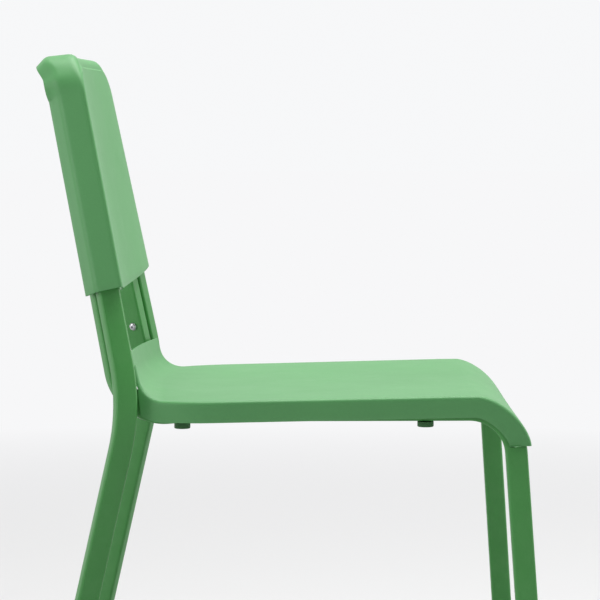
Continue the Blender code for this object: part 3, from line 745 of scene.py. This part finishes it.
def rod(name, p0, p1, r, n=24, r2=None):
    a, b = Vector(p0), Vector(p1)
    bm = bmesh.new()
    bmesh.ops.create_cone(bm, cap_ends=True, segments=n, radius1=r, radius2=r if r2 is None else r2,
                          depth=(b - a).length)
    q = Vector((0, 0, 1)).rotation_difference((b - a).normalized())
    for v in bm.verts:
        v.co = q @ v.co + (a + b) / 2
    me = bpy.data.meshes.new(name)
    bm.to_mesh(me)
    bm.free()
    ob = bpy.data.objects.new(name, me)
    bpy.context.scene.collection.objects.link(ob)
    return ob


def turned(name, base, axis, profile, mat, n=48):
    """A turned piece: profile of (radius, height) points along the axis from the base point."""
    base, axis = Vector(base), Vector(axis).normalized()
    q = Vector((0, 0, 1)).rotation_difference(axis)
    verts, faces, rings = [], [], []
    for r, h in profile:
        if r < 1e-7:
            rings.append([len(verts)])
            verts.append(q @ Vector((0, 0, h)) + base)
        else:
            rings.append(list(range(len(verts), len(verts) + n)))
            for k in range(n):
                a = 2 * math.pi * k / n
                verts.append(q @ Vector((r * math.cos(a), r * math.sin(a), h)) + base)
    for a, b in zip(rings, rings[1:]):
        for k in range(n):
            l = (k + 1) % n
            if len(a) == 1 and len(b) == 1:
                continue
            if len(a) == 1:
                faces.append((a[0], b[k], b[l]))
            elif len(b) == 1:
                faces.append((a[k], b[0], a[l]))
            else:
                faces.append((a[k], a[l], b[l], b[k]))
    return make(name, verts, faces, mat)


def place(ob, node):
    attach(ob, "root")
    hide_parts(node)
    return ob


FINE = 2.5
rp, fp = rear_path(FINE), front_path(FINE)

seat = seat_shell("seat", M_SEAT, n_rim=20, n_flat=24, n_front=40, n_x=28, k=5, n_skirt=4)
finish_mesh(seat, [M_SEAT])
place(seat, "seat_shell")

back = backrest_shell("backrest", M_BACK, n_side=24, n_corner=24, n_top=14, k=5, n_band=6, n_fold=6, n_flange=4)
finish_mesh(back, [M_BACK], bevel=0.0008, segs=2)
place(back, "backrest_shell")

SCREW_Z_F = 0.4935
for side, tag in ((1, "right"), (-1, "left")):
    c = upright_centre(SCREW_Z_F, True)
    W = lambda d, c=c, side=side: to_world(c + S_up * d, side)
    f = tube("%s_front_tube" % tag, fp, side, M_FRAME, k=5)
    hole = rod("%s_hole_a" % tag, W(-TUBE_A), W(TUBE_A / 2 + 0.0003), 0.0027, n=28)
    finish_mesh(f, [M_FRAME], cut=[hole])
    place(f, "%s_front_leg_tube" % tag)
    r = tube("%s_rear_tube" % tag, rp, side, M_FRAME, k=5)
    hole = rod("%s_hole_b" % tag, W(TUBE_A / 2 - 0.0001), W(TUBE_A / 2 + 0.0060), 0.0041, n=28)
    finish_mesh(r, [M_FRAME], cut=[hole])
    place(r, "%s_rear_leg_tube" % tag)
    # button-head screw: turned dome with a hexagon socket, shank through both walls
    head0 = -TUBE_A / 2 - GAP
    ax = (W(head0 - 1.0) - W(head0)).normalized()
    L = TUBE_A / 2 + 0.0085 - head0
    prof = [(0.0, -L), (0.0019, -L), (0.0022, -L + 0.0004), (0.0022, 0.0), (0.0043, 0.0), (0.0046, 0.0002)]
    for i in range(0, 9):
        t = (math.pi / 2) * i / 8 * 0.80
        prof.append((0.0046 * math.cos(t), 0.0003 + 0.0024 * math.sin(t)))
    prof.append((0.0, prof[-1][1]))
    s = turned("%s_screw" % tag, W(head0), ax, prof, M_ZINC)
    hexa = rod("%s_hex" % tag, W(head0) + ax * 0.0009, W(head0) + ax * 0.0060, 0.00150, n=6)
    finish_mesh(s, [M_ZINC], cut=[hexa])
    place(s, "%s_upright_screw" % tag)
    # stacking buffers: short round pads with a soft edge and a small moulding dimple
    for where in ("front", "rear"):
        lo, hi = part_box("%s_%s_stacking_buffer" % (tag, where))
        R, H = (hi.x - lo.x) / 2, hi.z - lo.z
        base = ((lo.x + hi.x) / 2, (lo.y + hi.y) / 2, hi.z)
        prof = [(0.0, 0.0), (R - 0.0003, 0.0), (R, 0.0003), (R, H - 0.0011)]
        for i in range(1, 7):
            t = (math.pi / 2) * i / 6
            prof.append((R - 0.0011 + 0.0011 * math.cos(t), H - 0.0011 + 0.0011 * math.sin(t)))
        prof += [(0.0024, H), (0.0021, H - 0.0003), (0.0, H - 0.0006)]
        b = turned("%s_%s_buffer" % (tag, where), base, (0, 0, -1), prof, M_BUFFER, n=56)
        finish_mesh(b, [M_BUFFER])
        place(b, "%s_%s_stacking_buffer" % (tag, where))

for name, ob in NODES.items():
    if ob.hide_render:
        continue
    if "foot" in name or "plug" in name:
        m = M_PLUG
    elif "screw" in name or "nut" in name:
        m = M_ZINC
    else:
        m = M_FRAME
    for s in ob.material_slots:
        s.material = m

# ---------------------------------------------------------------- stage, light and camera
def floor_material():
    mat = bpy.data.materials.new("floor")
    mat.use_nodes = True
    t = mat.node_tree
    bsdf = t.nodes["Principled BSDF"]
    lp = t.nodes.new("ShaderNodeLightPath")
    seen = t.nodes.new("ShaderNodeMix")
    seen.data_type = "RGBA"
    seen.inputs[6].default_value = (0.42, 0.42, 0.425, 1)
    seen.inputs[7].default_value = (0.66, 0.66, 0.66, 1)
    t.links.new(lp.outputs["Is Camera Ray"], seen.inputs[0])
    t.links.new(seen.outputs[2], bsdf.inputs["Base Color"])
    bsdf.inputs["Roughness"].default_value = 0.7
    co = t.nodes.new("ShaderNodeTexCoord")
    ln = t.nodes.new("ShaderNodeVectorMath")
    ln.operation = "LENGTH"
    t.links.new(co.outputs["Object"], ln.inputs[0])
    mr = t.nodes.new("ShaderNodeMapRange")
    mr.inputs["From Min"].default_value = 0.7
    mr.inputs["From Max"].default_value = 3.2
    t.links.new(ln.outputs["Value"], mr.inputs["Value"])
    em = t.nodes.new("ShaderNodeEmission")
    em.inputs["Color"].default_value = (0.93, 0.93, 0.94, 1)
    em.inputs["Strength"].default_value = 1.0
    mx = t.nodes.new("ShaderNodeMixShader")
    t.links.new(mr.outputs[0], mx.inputs[0])
    t.links.new(bsdf.outputs[0], mx.inputs[1])
    t.links.new(em.outputs[0], mx.inputs[2])
    t.links.new(mx.outputs[0], t.nodes["Material Output"].inputs["Surface"])
    return mat


bm = bmesh.new()
bmesh.ops.create_grid(bm, x_segments=2, y_segments=2, size=40.0)
me = bpy.data.meshes.new("floor")
bm.to_mesh(me)
bm.free()
floor = bpy.data.objects.new("floor", me)
me.materials.append(floor_material())
floor.location.z = -0.0002
bpy.context.scene.collection.objects.link(floor)

world = bpy.data.worlds.new("studio")
bpy.context.scene.world = world
world.use_nodes = True
wt = world.node_tree
bg = wt.nodes["Background"]
bg.inputs["Color"].default_value = (0.93, 0.935, 0.945, 1)
bg.inputs["Strength"].default_value = 1.0
# light comes from a softer, dimmer dome than the white backdrop that is seen
dome = wt.nodes.new("ShaderNodeBackground")
tc = wt.nodes.new("ShaderNodeTexCoord")
sep = wt.nodes.new("ShaderNodeSeparateXYZ")
wt.links.new(tc.outputs["Generated"], sep.inputs[0])
side_ramp = wt.nodes.new("ShaderNodeMapRange")
side_ramp.inputs["From Min"].default_value = -0.9
side_ramp.inputs["From Max"].default_value = 0.5
side_ramp.inputs["To Min"].default_value = 0.20
side_ramp.inputs["To Max"].default_value = 0.80
wt.links.new(sep.outputs[0], side_ramp.inputs["Value"])
wt.links.new(side_ramp.outputs[0], dome.inputs["Strength"])
dome.inputs["Color"].default_value = (1.0, 1.0, 1.0, 1)
lp = wt.nodes.new("ShaderNodeLightPath")
mx = wt.nodes.new("ShaderNodeMixShader")
wt.links.new(lp.outputs["Is Camera Ray"], mx.inputs[0])
wt.links.new(dome.outputs[0], mx.inputs[1])
wt.links.new(bg.outputs[0], mx.inputs[2])
wt.links.new(mx.outputs[0], wt.nodes["World Output"].inputs["Surface"])


def area(name, loc, target, size, energy, size_y=None):
    d = bpy.data.lights.new(name, "AREA")
    d.energy = energy
    d.shape = "RECTANGLE"
    d.size = size
    d.size_y = size_y or size
    o = bpy.data.objects.new(name, d)
    o.location = loc
    o.rotation_mode = "QUATERNION"
    o.rotation_quaternion = (Vector(target) - Vector(loc)).to_track_quat("-Z", "Y")
    bpy.context.scene.collection.objects.link(o)
    return o


area("top_softbox", (0.3, -0.3, 3.0), (0.0, 0.0, 0.4), 2.4, 76.0)
area("front_softbox", (0.9, -3.0, 1.5), (0.0, 0.0, 0.5), 1.8, 26.0)
area("back_left_strip", (-1.3, 2.6, 1.3), (0.0, 0.0, 0.5), 1.0, 20.0, 2.0)

bpy.context.scene.view_settings.view_transform = "Standard"
bpy.context.scene.view_settings.look = "None"
bpy.context.scene.view_settings.exposure = 0.0

cam_data = bpy.data.cameras.new("camera")
cam_data.sensor_width = 36.0
cam_data.lens = 2383.5 / 600.0 * 36.0
cam_data.clip_start = 0.1
cam_data.clip_end = 200.0
cam = bpy.data.objects.new("camera", cam_data)
cam.location = (-2.599, Y0 - 0.0357, 0.7186)
yaw, pitch = -0.00844, 0.07097
fwd = Vector((math.cos(pitch) * math.cos(yaw), -math.cos(pitch) * math.sin(yaw), -math.sin(pitch)))
cam.rotation_mode = "QUATERNION"
cam.rotation_quaternion = fwd.to_track_quat("-Z", "Y")
bpy.context.scene.collection.objects.link(cam)
bpy.context.scene.camera = cam

bpy.context.view_layer.update()
